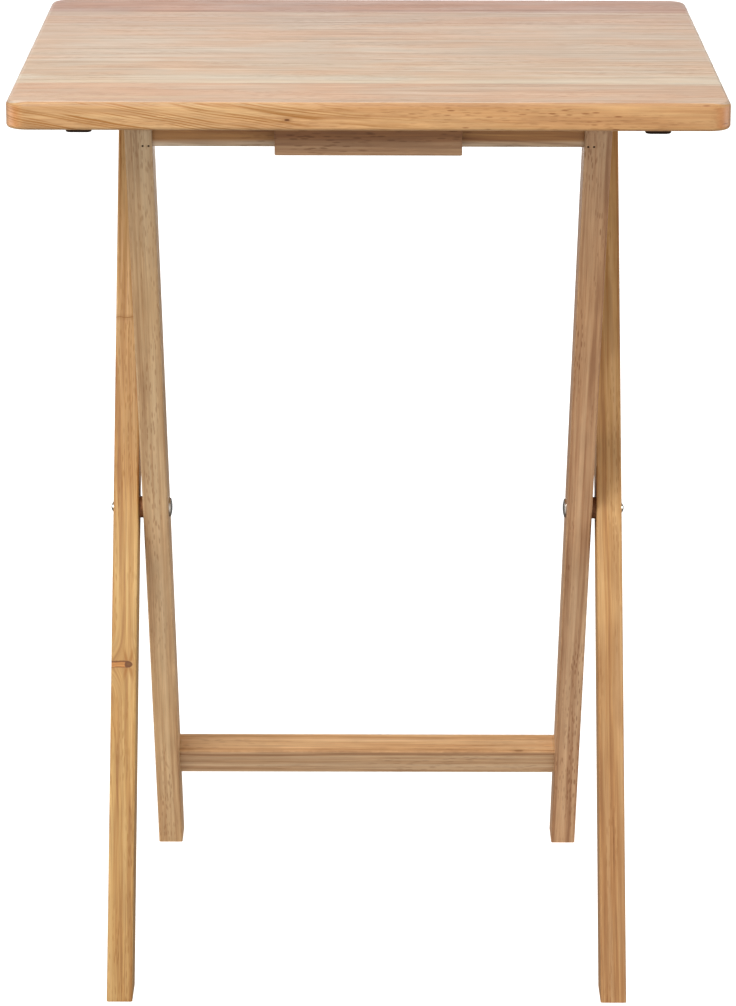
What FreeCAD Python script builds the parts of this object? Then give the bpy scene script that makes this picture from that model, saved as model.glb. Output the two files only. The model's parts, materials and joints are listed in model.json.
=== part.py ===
"""Folding tray table with an edge-glued hardwood top on two crossed leg frames.

Row frame: origin on the floor under the middle of the top, +X to the right, +Y to the rear, +Z up.
The outer legs stand at the front and carry the top's rear hinge. The inner frame stands at the rear,
and its top rail rests under the front of the top, behind a catch block.
"""
import FreeCAD
import Part
import math
import os
import Sketcher

DIMENSIONS = {
    "top_width": 483.0,
    "top_depth": 430.0,
    "top_height": 660.0,
    "top_thick": 19.0,
    "top_corner": 15.0,
    "top_ease": 4.0,
    "bottom_ease": 2.5,
    "stave_edge_1": -143.5,
    "stave_edge_2": -111.0,
    "stave_edge_3": -57.0,
    "stave_edge_4": -3.0,
    "stave_edge_5": 44.0,
    "stave_edge_6": 96.0,
    "stave_edge_7": 154.0,
    "leg_lean": 26.63,
    "leg_width": 30.0,
    "leg_thick": 18.5,
    "leg_spacing": 3.3,
    "leg_ease": 1.6,
    "stand_half": 186.4,
    "pivot_height": 318.3,
    "hinge_drop": 20.0,
    "rail_relief": 0.3,
    "rail_deep": 19.0,
    "rail_tall": 20.3,
    "rail_ease": 3.0,
    "tip_front_ease": 7.0,
    "tip_rear_ease": 10.0,
    "stretcher_thick": 20.0,
    "stretcher_tall": 24.0,
    "stretcher_reach": 266.1,
    "stretcher_setback": 3.9,
    "stretcher_ease": 2.0,
    "rail_dowel_radius": 4.0,
    "stretcher_dowel_radius": 3.0,
    "stretcher_dowel_pitch": 11.0,
    "dowel_embed": 12.0,
    "brad_radius": 0.75,
    "brad_hole_radius": 0.85,
    "brad_length": 22.0,
    "brad_sink": 0.4,
    "brad_first": 148.6,
    "brad_second": 152.6,
    "brad_drop": 2.6,
    "block_width": 126.0,
    "block_deep": 22.0,
    "block_tall": 21.8,
    "block_play": 1.0,
    "block_ease": 1.0,
    "shank_radius": 3.0,
    "shank_play": 0.05,
    "pivot_head_radius": 4.4,
    "pivot_head_rise": 2.3,
    "pivot_cap_radius": 7.15,
    "pivot_cap_rim": 1.1,
    "pivot_cap_rise": 2.4,
    "pivot_cap_seat": 1.5,
    "spacer_radius": 8.0,
    "face_play": 0.05,
    "cleat_length": 64.0,
    "cleat_tall": 32.0,
    "cleat_thick": 18.0,
    "cleat_ease": 9.0,
    "hinge_washer_thick": 1.5,
    "hinge_washer_radius": 8.0,
    "hinge_head_radius": 6.0,
    "hinge_head_rise": 2.4,
    "hinge_foot_radius": 5.0,
    "hinge_foot_rise": 1.2,
    "bumper_side": 17.4,
    "bumper_corner": 4.0,
    "bumper_rise": 3.5,
    "bumper_offset": 193.3,
    "bumper_y_left": -195.3,
    "bumper_y_right": -196.8,
    "screw_radius": 1.9,
    "screw_hole_radius": 2.1,
    "screw_head_radius": 4.0,
    "screw_head_deep": 3.2,
    "screw_bite": 11.0,
    "cleat_screw_pitch": 42.0,
    "block_screw_pitch": 80.0,
}

doc = FreeCAD.newDocument("tray_table")
dims = doc.addObject("Spreadsheet::Sheet", "dims")
for row, (alias, size) in enumerate(DIMENSIONS.items(), start=1):
    dims.set(f"A{row}", alias)
    dims.set(f"B{row}", str(size))
    dims.setAlias(f"B{row}", alias)
doc.recompute()

# Formulas that several pieces share. The under side of the top is the reference for all that hangs
# below it, and both pairs of legs lean by the same angle about the pivot line.
UNDER = "(dims.top_height - dims.top_thick)"
HALF_LEG = "(dims.leg_width / 2)"
HINGE_Z = f"({UNDER} - dims.hinge_drop)"
HINGE_Y = f"(({HINGE_Z} - dims.pivot_height) * tan(dims.leg_lean))"
HINGE_UP = f"(({HINGE_Z} - dims.pivot_height) / cos(dims.leg_lean))"
RAIL_TOP = f"({UNDER} - dims.rail_relief)"
RAIL_Z = f"({RAIL_TOP} - dims.rail_tall / 2)"
RAIL_Y = f"(-({RAIL_Z} - dims.pivot_height) * tan(dims.leg_lean))"
RAIL_UP = f"(({RAIL_Z} - dims.pivot_height) / cos(dims.leg_lean))"
OUTER_IN = "(dims.stand_half - dims.leg_thick)"
INNER_OUT = f"({OUTER_IN} - dims.leg_spacing)"
INNER_IN = f"({INNER_OUT} - dims.leg_thick)"
CLEAT_IN = "(dims.stand_half + dims.hinge_washer_thick + 2 * dims.face_play)"
CLEAT_OUT = f"({CLEAT_IN} + dims.cleat_thick)"
BLOCK_BACK = f"({RAIL_Y} - dims.rail_deep / 2 - dims.block_play)"
BLOCK_Y = f"({BLOCK_BACK} - dims.block_deep / 2)"
SIDES = {"left": -1, "right": 1}
AXIS_X = -1
AXIS_Y = -2
START, END, CENTRE = 1, 2, 3


def value(formula):
    """Evaluates a formula of sheet cells as a plain number."""
    return float(dims.evalExpression(formula.replace("dims.", "")))


def new_body(name):
    return doc.addObject("PartDesign::Body", name)


def origin_plane(body, role):
    return next(item for item in body.Origin.OriginFeatures if item.Role == role)


def new_sketch(body, name, role, offset="0"):
    """A sketch on one of the body's own origin planes, moved along its normal by a formula."""
    sketch = body.newObject("Sketcher::SketchObject", f"{body.Name}_{name}")
    sketch.AttachmentSupport = [(origin_plane(body, role), "")]
    sketch.MapMode = "FlatFace"
    sketch.setExpression("AttachmentOffset.Base.z", offset)
    return sketch


def fix_point(sketch, geometry, vertex, x, y):
    """Holds a point at formula distances from the sketch's origin."""
    for kind, formula, axis in (("DistanceX", x, AXIS_Y), ("DistanceY", y, AXIS_X)):
        if formula == "0":
            sketch.addConstraint(Sketcher.Constraint("PointOnObject", geometry, vertex, axis))
            continue
        index = sketch.addConstraint(Sketcher.Constraint(kind, geometry, vertex, value(formula)))
        sketch.setExpression(f"Constraints[{index}]", formula)


def dome_arc(start, end):
    """An arc centred on the sketch's X axis, and the vertex numbers of its start and end."""
    centre_x = (end.dot(end) - start.dot(start)) / (2 * (end.x - start.x))
    centre = FreeCAD.Vector(centre_x, 0, 0)
    angles = [math.atan2(point.y - centre.y, point.x - centre.x) for point in (start, end)]
    circle = Part.Circle(centre, FreeCAD.Vector(0, 0, 1), start.distanceToPoint(centre))
    forward = (angles[1] - angles[0]) % (2 * math.pi) < math.pi
    if forward:
        return Part.ArcOfCircle(circle, angles[0], angles[1]), (START, END)
    return Part.ArcOfCircle(circle, angles[1], angles[0]), (END, START)


def add_outline(sketch, corners, domes=()):
    """A closed outline through formula corners; the sides numbered in domes are arcs."""
    points = [FreeCAD.Vector(value(x), value(y), 0) for x, y in corners]
    sides = []
    for number, start in enumerate(points):
        end = points[(number + 1) % len(points)]
        if number in domes:
            curve, vertices = dome_arc(start, end)
            geometry = sketch.addGeometry(curve)
            sketch.addConstraint(Sketcher.Constraint("PointOnObject", geometry, CENTRE, AXIS_X))
        else:
            geometry = sketch.addGeometry(Part.LineSegment(start, end))
            vertices = (START, END)
        sides.append((geometry, vertices))
    for number, (geometry, vertices) in enumerate(sides):
        following, next_vertices = sides[(number + 1) % len(sides)]
        joint = Sketcher.Constraint("Coincident", geometry, vertices[1], following, next_vertices[0])
        sketch.addConstraint(joint)
        fix_point(sketch, geometry, vertices[0], *corners[number])


def add_circle(sketch, x, y, radius):
    centre = FreeCAD.Vector(value(x), value(y), 0)
    circle = Part.Circle(centre, FreeCAD.Vector(0, 0, 1), value(radius))
    geometry = sketch.addGeometry(circle)
    fix_point(sketch, geometry, CENTRE, x, y)
    index = sketch.addConstraint(Sketcher.Constraint("Radius", geometry, value(radius)))
    sketch.setExpression(f"Constraints[{index}]", radius)


def pad(body, sketch, length, symmetric=False):
    feature = body.newObject("PartDesign::Pad", f"{body.Name}_pad")
    feature.Profile = sketch
    feature.setExpression("Length", length)
    if symmetric:
        feature.SideType = "Symmetric"
    doc.recompute()
    return feature


def pocket(body, sketch, length, backwards=False):
    """A blind pocket, with a test that it really took material away."""
    before = body.Shape.Volume
    feature = body.newObject("PartDesign::Pocket", f"{sketch.Name}_pocket")
    feature.Profile = sketch
    feature.setExpression("Length", length)
    feature.Reversed = backwards
    doc.recompute()
    if feature.Shape.Volume > before - 1.0:
        raise RuntimeError(f"{feature.Name} cuts nothing")
    return feature


def mirror_pockets(body, features):
    """Repeats pockets on the other side of the body's YZ plane."""
    mirrored = body.newObject("PartDesign::Mirrored", f"{body.Name}_mirrored")
    mirrored.Originals = features
    mirrored.MirrorPlane = (origin_plane(body, "YZ_Plane"), [""])
    body.Tip = mirrored
    doc.recompute()
    return mirrored


def edges_where(shape, test):
    """Names of the straight edges whose middle point and direction pass the test."""
    names = []
    for number, edge in enumerate(shape.Edges, start=1):
        if edge.Curve.TypeId != "Part::GeomLine":
            continue
        middle = edge.CenterOfMass
        direction = edge.Curve.Direction
        if test(middle, direction):
            names.append(f"Edge{number}")
    return names


def ease(body, feature, names, radius):
    """Rounds the named edges of the body's last feature."""
    rounded = body.newObject("PartDesign::Fillet", f"{body.Name}_ease")
    rounded.Base = (feature, names)
    rounded.setExpression("Radius", radius)
    doc.recompute()
    return rounded


def place(thing, x="0", y="0", z="0", axis=(0, 0, 1), angle="0"):
    """Binds a piece's place and turn to formulas."""
    thing.Placement = FreeCAD.Placement(FreeCAD.Vector(), FreeCAD.Rotation(FreeCAD.Vector(*axis), 1))
    for letter, formula in zip("xyz", (x, y, z)):
        thing.setExpression(f"Placement.Base.{letter}", formula)
    thing.setExpression("Placement.Rotation.Angle", angle)
    return thing


def turned(name, corners, domes, side, y, z):
    """A piece turned about a line along X; the left one faces the other way."""
    body = new_body(name)
    sketch = new_sketch(body, "profile", "XY_Plane")
    add_outline(sketch, corners, domes)
    spin = body.newObject("PartDesign::Revolution", f"{name}_turned")
    spin.Profile = sketch
    spin.ReferenceAxis = (sketch, ["H_Axis"])
    spin.Angle = 360
    doc.recompute()
    return place(body, y=y, z=z, angle="180" if side < 0 else "0")


def level_cut(across, height, lean_sign):
    """Height in a leaning leg's own frame of the level plane at a row height."""
    level = f"({height} - dims.pivot_height)"
    return f"(({level} - {lean_sign} * {across} * sin(dims.leg_lean)) / cos(dims.leg_lean))"


def make_top_staves():
    """The top is one rounded board, glued up from staves that run from left to right."""
    blank = new_body("top_blank")
    sketch = new_sketch(blank, "plan", "XY_Plane", UNDER)
    half_x, half_y = "dims.top_width / 2", "dims.top_depth / 2"
    add_outline(sketch, [(f"-{half_x}", f"-{half_y}"), (half_x, f"-{half_y}"),
                         (half_x, half_y), (f"-{half_x}", half_y)])
    board = pad(blank, sketch, "dims.top_thick")
    corners = edges_where(board.Shape, lambda middle, direction: abs(direction.z) > 0.9)
    rounded = ease(blank, board, corners, "dims.top_corner")
    upper = value("dims.top_height")
    names = edges_where(rounded.Shape, lambda middle, direction: abs(middle.z - upper) < 0.01)
    rounded = ease(blank, rounded, names, "dims.top_ease")
    lower = value(UNDER)
    names = edges_where(rounded.Shape, lambda middle, direction: abs(middle.z - lower) < 0.01)
    ease(blank, rounded, names, "dims.bottom_ease")
    limits = ["-dims.top_depth / 2"]
    limits += [f"dims.stave_edge_{number}" for number in range(1, 8)]
    limits += ["dims.top_depth / 2"]
    staves = []
    for number, (front, rear) in enumerate(zip(limits, limits[1:]), start=1):
        strip = doc.addObject("Part::Box", f"strip_{number}")
        strip.setExpression("Length", "dims.top_width")
        strip.setExpression("Width", f"{rear} - ({front})")
        strip.setExpression("Height", "dims.top_thick")
        place(strip, "-dims.top_width / 2", front, UNDER)
        stave = doc.addObject("Part::Common", f"top_stave_{number}")
        stave.Base = blank
        stave.Tool = strip
        staves.append(stave)
    return staves


def leg_blank(name, side, lean_sign, inner_face, top_corners, bores):
    """A leg in its own frame: its axis is +Z and the pivot line is the origin."""
    body = new_body(name)
    near_side = inner_face if side > 0 else f"-({inner_face} + dims.leg_thick)"
    sketch = new_sketch(body, "outline", "YZ_Plane", near_side)
    feet = [(across, level_cut(across, "0", lean_sign)) for across in (f"-{HALF_LEG}", HALF_LEG)]
    add_outline(sketch, feet + top_corners)
    for height in bores:
        add_circle(sketch, "0", height, "dims.shank_radius + dims.shank_play")
    blank = pad(body, sketch, "dims.leg_thick")
    place(body, z="dims.pivot_height", axis=(1, 0, 0), angle=f"{lean_sign} * dims.leg_lean")
    return body, blank


def cross_edges_at(shape, height):
    """Edges along X near a height in a leg's own frame."""
    return edges_where(shape, lambda middle, direction: abs(direction.x) > 0.9
                       and abs(middle.z - height) < value("dims.leg_width") / 2)


def ease_leg(body, feature):
    """Eases the four long edges; the easing runs on round the rounded end."""
    names = edges_where(feature.Shape, lambda middle, direction: abs(direction.z) > 0.9)
    return ease(body, feature, names, "dims.leg_ease")


def make_outer_leg(word, side):
    """The leg ends in a round about the hinge, so that the top can turn over it."""
    tip = f"({HINGE_UP} + {HALF_LEG})"
    body, blank = leg_blank(f"outer_leg_{word}", side, -1, OUTER_IN,
                            [(HALF_LEG, tip), (f"-{HALF_LEG}", tip)], ["0", HINGE_UP])
    names = cross_edges_at(blank.Shape, value(tip))
    tip_round = ease(body, blank, names, f"{HALF_LEG} - 0.2")
    ease_leg(body, tip_round)
    return body


def make_inner_leg(word, side):
    """The leg ends level under the top, with both corners eased so that it can pass the hinge."""
    tips = [(across, level_cut(across, RAIL_TOP, 1)) for across in (HALF_LEG, f"-{HALF_LEG}")]
    body, tip = leg_blank(f"inner_leg_{word}", side, 1, INNER_IN, tips, ["0"])
    for face, (_, height), radius in ((1, tips[0], "dims.tip_rear_ease"),
                                      (-1, tips[1], "dims.tip_front_ease")):
        names = [name for name in cross_edges_at(tip.Shape, value(height))
                 if abs(tip.Shape.getElement(name).CenterOfMass.y - face * value(HALF_LEG)) < 0.01
                 and abs(tip.Shape.getElement(name).CenterOfMass.z - value(height)) < 0.01]
        tip = ease(body, tip, names, radius)
    ease_leg(body, tip)
    inner_face = INNER_IN if side > 0 else f"-{INNER_IN}"
    rail_holes = new_sketch(body, "rail_dowel", "YZ_Plane", inner_face)
    add_circle(rail_holes, "0", RAIL_UP, "dims.rail_dowel_radius")
    pocket(body, rail_holes, "dims.dowel_embed", backwards=side > 0)
    stretcher_holes = new_sketch(body, "stretcher_dowels", "YZ_Plane", inner_face)
    for sign in ("-", ""):
        height = f"(-dims.stretcher_reach + {sign}dims.stretcher_dowel_pitch / 2)"
        add_circle(stretcher_holes, "dims.stretcher_setback", height, "dims.stretcher_dowel_radius")
    pocket(body, stretcher_holes, "dims.dowel_embed", backwards=side > 0)
    brad_holes = new_sketch(body, "brads", "XZ_Plane", HALF_LEG)
    for offset in ("dims.brad_first", "dims.brad_second"):
        add_circle(brad_holes, f"{side} * {offset}", f"({RAIL_UP} - dims.brad_drop)",
                   "dims.brad_hole_radius")
    pocket(body, brad_holes, "dims.brad_length")
    return body


def make_rail():
    """The rail lies level between the inner legs and carries the front of the top."""
    body = new_body("inner_top_rail")
    sketch = new_sketch(body, "section", "YZ_Plane")
    half_deep, half_tall = "dims.rail_deep / 2", "dims.rail_tall / 2"
    add_outline(sketch, [(f"-{half_deep}", f"-{half_tall}"), (half_deep, f"-{half_tall}"),
                         (half_deep, half_tall), (f"-{half_deep}", half_tall)])
    bar = pad(body, sketch, f"2 * {INNER_IN}", symmetric=True)
    names = edges_where(bar.Shape, lambda middle, direction: abs(direction.x) > 0.9)
    ease(body, bar, names, "dims.rail_ease")
    holes = new_sketch(body, "dowel_hole", "YZ_Plane", INNER_IN)
    add_circle(holes, "0", "0", "dims.rail_dowel_radius")
    mirror_pockets(body, [pocket(body, holes, "dims.dowel_embed")])
    return place(body, y=RAIL_Y, z=RAIL_Z)


def stretcher_centre():
    """Row place of the stretcher's middle, from its place in the leaning legs' frame."""
    y = "(dims.stretcher_reach * sin(dims.leg_lean) + dims.stretcher_setback * cos(dims.leg_lean))"
    drop = "(-dims.stretcher_reach * cos(dims.leg_lean) + dims.stretcher_setback * sin(dims.leg_lean))"
    return y, f"(dims.pivot_height + {drop})"


def make_stretcher():
    """The lower stretcher leans with the inner legs and sits behind their front faces."""
    body = new_body("lower_stretcher")
    sketch = new_sketch(body, "section", "YZ_Plane")
    half_deep, half_tall = "dims.stretcher_thick / 2", "dims.stretcher_tall / 2"
    add_outline(sketch, [(f"-{half_deep}", f"-{half_tall}"), (half_deep, f"-{half_tall}"),
                         (half_deep, half_tall), (f"-{half_deep}", half_tall)])
    bar = pad(body, sketch, f"2 * {INNER_IN}", symmetric=True)
    names = edges_where(bar.Shape, lambda middle, direction: abs(direction.x) > 0.9)
    ease(body, bar, names, "dims.stretcher_ease")
    holes = new_sketch(body, "dowel_holes", "YZ_Plane", INNER_IN)
    for sign in ("-", ""):
        add_circle(holes, "0", f"({sign}dims.stretcher_dowel_pitch / 2)", "dims.stretcher_dowel_radius")
    mirror_pockets(body, [pocket(body, holes, "dims.dowel_embed")])
    y, z = stretcher_centre()
    return place(body, y=y, z=z, axis=(1, 0, 0), angle="dims.leg_lean")


def rod(name, radius, length, x, y, z, axis, angle):
    """A plain cylinder whose own +Z end is turned to lie along another line."""
    cylinder = doc.addObject("Part::Cylinder", name)
    cylinder.setExpression("Radius", radius)
    cylinder.setExpression("Height", length)
    return place(cylinder, x, y, z, axis, angle)


def group(label, members):
    """Identical fasteners as separate solids of one piece."""
    compound = doc.addObject("Part::Compound", label)
    compound.Links = members
    return compound


def make_dowels():
    """Glued beech dowels across each joint between a cross bar and an inner leg."""
    length = "2 * dims.dowel_embed"
    rail_dowels = []
    stretcher_dowels = []
    for word, side in SIDES.items():
        start = f"({side} * {INNER_IN} - dims.dowel_embed)"
        rail_dowels.append(rod(f"rail_dowel_{word}", "dims.rail_dowel_radius", length,
                               start, RAIL_Y, RAIL_Z, (0, 1, 0), "90"))
        y, z = stretcher_centre()
        for number, sign in enumerate(("-", "+"), start=1):
            rise = f"{sign} dims.stretcher_dowel_pitch / 2 * cos(dims.leg_lean)"
            shift = f"{sign} dims.stretcher_dowel_pitch / 2 * sin(dims.leg_lean)"
            stretcher_dowels.append(rod(f"stretcher_dowel_{word}_{number}",
                                        "dims.stretcher_dowel_radius", length, start,
                                        f"{y} - (0 {shift})", f"{z} {rise}", (0, 1, 0), "90"))
    return [group("rail_dowels", rail_dowels), group("stretcher_dowels", stretcher_dowels)]


def make_brads():
    """Two brads through each inner leg's front face pin the rail's dowel below its middle."""
    inward = f"({HALF_LEG} - dims.brad_sink)"
    y = f"({RAIL_Y} - {inward} * cos(dims.leg_lean) + dims.brad_drop * sin(dims.leg_lean))"
    z = f"({RAIL_Z} - {inward} * sin(dims.leg_lean) - dims.brad_drop * cos(dims.leg_lean))"
    brads = []
    for word, side in SIDES.items():
        for number, offset in enumerate(("dims.brad_first", "dims.brad_second"), start=1):
            brads.append(rod(f"brad_{word}_{number}", "dims.brad_radius",
                             "dims.brad_length - 2 * dims.brad_sink",
                             f"{side} * {offset}", y, z, (-1, 0, 0), "90 - dims.leg_lean"))
    return group("rail_brads", brads)


def make_pivot(word, side):
    """A domed rivet through both legs, the spacer between them and the cap on its inner end."""
    start = f"({INNER_IN} - dims.pivot_cap_seat)"
    face = "dims.stand_half"
    head = f"({face} + dims.pivot_head_rise)"
    rivet = turned(f"pivot_rivet_{word}",
                   [(start, "0"), (start, "dims.shank_radius"), (face, "dims.shank_radius"),
                    (face, "dims.pivot_head_radius"), (head, "0")], (3,), side,
                   "0", "dims.pivot_height")
    back = f"({INNER_IN} - dims.face_play)"
    rim = f"({back} - dims.pivot_cap_rim)"
    crown = f"({back} - dims.pivot_cap_rise)"
    cap = turned(f"pivot_cap_{word}",
                 [(start, "0"), (start, "dims.shank_radius"), (back, "dims.shank_radius"),
                  (back, "dims.pivot_cap_radius"), (rim, "dims.pivot_cap_radius"), (crown, "0")],
                 (4,), side, "0", "dims.pivot_height")
    near = f"({INNER_OUT} + dims.face_play)"
    spacer = turned(f"pivot_spacer_{word}",
                    [(near, "dims.shank_radius"), (near, "dims.spacer_radius"),
                     (OUTER_IN, "dims.spacer_radius"), (OUTER_IN, "dims.shank_radius")],
                    (), side, "0", "dims.pivot_height")
    return [rivet, cap, spacer]


def make_cleat(word, side):
    """A block under the top, outside the outer leg, that the hinge pin passes through."""
    body = new_body(f"hinge_cleat_{word}")
    near_side = CLEAT_IN if side > 0 else f"-{CLEAT_OUT}"
    sketch = new_sketch(body, "outline", "YZ_Plane", near_side)
    front, rear = f"({HINGE_Y} - dims.cleat_length / 2)", f"({HINGE_Y} + dims.cleat_length / 2)"
    low = f"({UNDER} - dims.cleat_tall)"
    add_outline(sketch, [(front, low), (rear, low), (rear, UNDER), (front, UNDER)])
    add_circle(sketch, HINGE_Y, HINGE_Z, "dims.shank_radius + dims.shank_play")
    block = pad(body, sketch, "dims.cleat_thick")
    names = edges_where(block.Shape, lambda middle, direction: abs(direction.x) > 0.9
                        and middle.z < value(low) + 0.01)
    ease(body, block, names, "dims.cleat_ease")
    middle_x = f"{side} * ({CLEAT_IN} + dims.cleat_thick / 2)"
    places = [(middle_x, f"({HINGE_Y} {sign} dims.cleat_screw_pitch / 2)") for sign in ("-", "+")]
    drill_for_screws(body, low, "dims.cleat_tall", places)
    return body, places


def make_catch_block():
    """The block under the front of the top that the inner rail bears against."""
    body = new_body("catch_block")
    low = f"({UNDER} - dims.block_tall)"
    sketch = new_sketch(body, "plan", "XY_Plane", low)
    half = "dims.block_width / 2"
    front, back = f"({BLOCK_BACK} - dims.block_deep)", BLOCK_BACK
    add_outline(sketch, [(f"-{half}", front), (half, front), (half, back), (f"-{half}", back)])
    block = pad(body, sketch, "dims.block_tall")
    bottom = value(low)
    names = edges_where(block.Shape, lambda middle, direction: middle.z < bottom + 0.01
                        or (abs(direction.z) > 0.9 and middle.y < value(BLOCK_Y)))
    ease(body, block, names, "dims.block_ease")
    places = [(f"({sign}dims.block_screw_pitch / 2)", BLOCK_Y) for sign in ("-", "")]
    drill_for_screws(body, low, "dims.block_tall", places)
    return body, places


def drill_for_screws(body, low, tall, places):
    """Clearance holes right through, and a counterbore for each head on the lower face."""
    shanks = new_sketch(body, "screw_holes", "XY_Plane", low)
    heads = new_sketch(body, "head_holes", "XY_Plane", low)
    for x, y in places:
        add_circle(shanks, x, y, "dims.screw_hole_radius")
        add_circle(heads, x, y, "dims.screw_head_radius + dims.shank_play")
    pocket(body, shanks, tall, backwards=True)
    pocket(body, heads, "dims.screw_head_deep", backwards=True)


def make_screws(label, low, tall, places):
    """Pan-head screws, let in flush with the lower face, that bite into the top."""
    screws = []
    for number, (x, y) in enumerate(places, start=1):
        head = doc.addObject("Part::Cylinder", f"{label}_head_{number}")
        head.setExpression("Radius", "dims.screw_head_radius")
        head.setExpression("Height", "dims.screw_head_deep - dims.brad_sink")
        place(head, x, y, f"{low} + dims.brad_sink")
        shank = doc.addObject("Part::Cylinder", f"{label}_shank_{number}")
        shank.setExpression("Radius", "dims.screw_radius")
        shank.setExpression("Height", f"{tall} + dims.screw_bite - dims.screw_head_deep")
        place(shank, x, y, f"{low} + dims.screw_head_deep")
        screw = doc.addObject("Part::Fuse", f"{label}_{number}")
        screw.Base = head
        screw.Tool = shank
        screws.append(screw)
    return group(label, screws)


def make_hinge_pin(word, side):
    """A headed steel pin through the cleat, a washer and the outer leg, closed over inside it."""
    shank = "dims.shank_radius"
    inner_face = f"({OUTER_IN} - dims.face_play)"
    inner_end = f"({inner_face} - dims.hinge_foot_rise)"
    face = f"({CLEAT_OUT} + dims.face_play)"
    head = f"({face} + dims.hinge_head_rise)"
    pin = turned(f"hinge_pin_{word}",
                 [(inner_end, "0"), (inner_end, "dims.hinge_foot_radius"),
                  (inner_face, "dims.hinge_foot_radius"), (inner_face, shank), (face, shank),
                  (face, "dims.hinge_head_radius"), (head, "0")], (5,), side, HINGE_Y, HINGE_Z)
    near = "(dims.stand_half + dims.face_play)"
    far = f"({near} + dims.hinge_washer_thick)"
    washer = turned(f"hinge_washer_{word}",
                    [(near, shank), (near, "dims.hinge_washer_radius"),
                     (far, "dims.hinge_washer_radius"), (far, shank)], (), side, HINGE_Y, HINGE_Z)
    return [pin, washer]


def make_bumper(word, side):
    """A square rubber pad with round corners, stuck to the under side near a front corner."""
    body = new_body(f"bumper_{word}")
    sketch = new_sketch(body, "plan", "XY_Plane", f"({UNDER} - dims.bumper_rise)")
    half = "dims.bumper_side / 2"
    xs = [f"({side} * dims.bumper_offset {sign} {half})" for sign in ("-", "+")]
    ys = [f"(dims.bumper_y_{word} {sign} {half})" for sign in ("-", "+")]
    add_outline(sketch, [(xs[0], ys[0]), (xs[1], ys[0]), (xs[1], ys[1]), (xs[0], ys[1])])
    square = pad(body, sketch, "dims.bumper_rise")
    corners = edges_where(square.Shape, lambda middle, direction: abs(direction.z) > 0.9)
    rounded = ease(body, square, corners, "dims.bumper_corner")
    low = rounded.Shape.BoundBox.ZMin
    rim = [f"Edge{number}" for number, edge in enumerate(rounded.Shape.Edges, start=1)
           if edge.BoundBox.ZMax < low + 0.01]
    ease(body, rounded, rim, "dims.bumper_rise / 4")
    return body


def check(pieces):
    """Stops if any object failed to compute or any piece is not a sound solid."""
    for item in doc.Objects:
        if {"Invalid", "Error"} & set(item.State):
            raise RuntimeError(f"{item.Name} failed: {item.State}")
    for piece in pieces:
        if piece.Shape.isNull() or not piece.Shape.isValid() or piece.Shape.Volume <= 0:
            raise RuntimeError(f"{piece.Label} has no sound shape")


pieces = make_top_staves()
block_body, block_screws = make_catch_block()
pieces.append(block_body)
cleat_screws = []
for side_word, side_sign in SIDES.items():
    cleat, screw_places = make_cleat(side_word, side_sign)
    cleat_screws += screw_places
    pieces.append(cleat)
    pieces.append(make_outer_leg(side_word, side_sign))
    pieces.append(make_inner_leg(side_word, side_sign))
    pieces += make_pivot(side_word, side_sign)
    pieces += make_hinge_pin(side_word, side_sign)
    pieces.append(make_bumper(side_word, side_sign))
pieces += [make_rail(), make_stretcher(), make_brads()]
pieces += make_dowels()
pieces.append(make_screws("cleat_screws", f"({UNDER} - dims.cleat_tall)", "dims.cleat_tall", cleat_screws))
pieces.append(make_screws("catch_block_screws", f"({UNDER} - dims.block_tall)", "dims.block_tall",
                          block_screws))
doc.recompute()
check(pieces)
os.makedirs("parts", exist_ok=True)
for piece in pieces:
    piece.Shape.exportStep(f"parts/{piece.Label}.step")
    box = piece.Shape.BoundBox
    print(f"{piece.Label:20s} {len(piece.Shape.Solids)} {piece.Shape.Volume:10.1f} mm3"
          f"  X {box.XMin:.1f}..{box.XMax:.1f} Y {box.YMin:.1f}..{box.YMax:.1f}"
          f" Z {box.ZMin:.1f}..{box.ZMax:.1f}")
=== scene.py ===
"""Looks of the folding tray table: lacquered hardwood, nickel-plated pivots and rubber pads.

The CAD nodes keep their shapes and get procedural materials. Only the screws under the top are
replaced, by screws with a pressed cross recess. All lengths are in metres, in the table's own frame:
Z is up, and the front is towards minus Y.
"""
import json
import math
from typing import NamedTuple

import bmesh
import bpy
from mathutils import Matrix, Vector


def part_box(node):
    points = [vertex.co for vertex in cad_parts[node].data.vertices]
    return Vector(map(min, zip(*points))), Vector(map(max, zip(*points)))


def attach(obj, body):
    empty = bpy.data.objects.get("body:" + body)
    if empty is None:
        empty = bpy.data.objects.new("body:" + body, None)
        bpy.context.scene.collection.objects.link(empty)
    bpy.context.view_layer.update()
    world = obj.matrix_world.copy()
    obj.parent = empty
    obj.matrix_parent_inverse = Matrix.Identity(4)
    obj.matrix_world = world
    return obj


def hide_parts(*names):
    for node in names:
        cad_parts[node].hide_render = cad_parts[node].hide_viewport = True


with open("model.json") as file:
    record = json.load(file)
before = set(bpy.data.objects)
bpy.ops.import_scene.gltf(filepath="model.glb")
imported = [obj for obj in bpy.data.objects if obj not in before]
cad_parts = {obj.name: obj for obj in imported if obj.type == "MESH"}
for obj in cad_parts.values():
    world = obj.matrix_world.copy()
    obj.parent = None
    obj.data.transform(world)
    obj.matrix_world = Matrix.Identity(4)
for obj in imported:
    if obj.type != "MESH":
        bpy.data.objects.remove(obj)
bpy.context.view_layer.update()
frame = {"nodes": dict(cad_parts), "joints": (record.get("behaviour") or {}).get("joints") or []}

MM = 0.001
NODES = frame["nodes"]
JOINTS = {joint["name"]: joint for joint in frame["joints"]}
PIVOT = Vector(JOINTS["leg_fold"]["pos_m"])
HINGE = Vector(JOINTS["tray_lift"]["pos_m"])
LEG_LEAN = math.atan2(HINGE.y - PIVOT.y, HINGE.z - PIVOT.z)
SIDES = ("left", "right")

CAMERA_PLACE = (0.0003, -2.8585, 1.1529)
CAMERA_PITCH = math.radians(16.216)
CAMERA_ROLL = math.radians(0.128)
CAMERA_LENS = 144.61
CAMERA_SENSOR = 36.0

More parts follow.
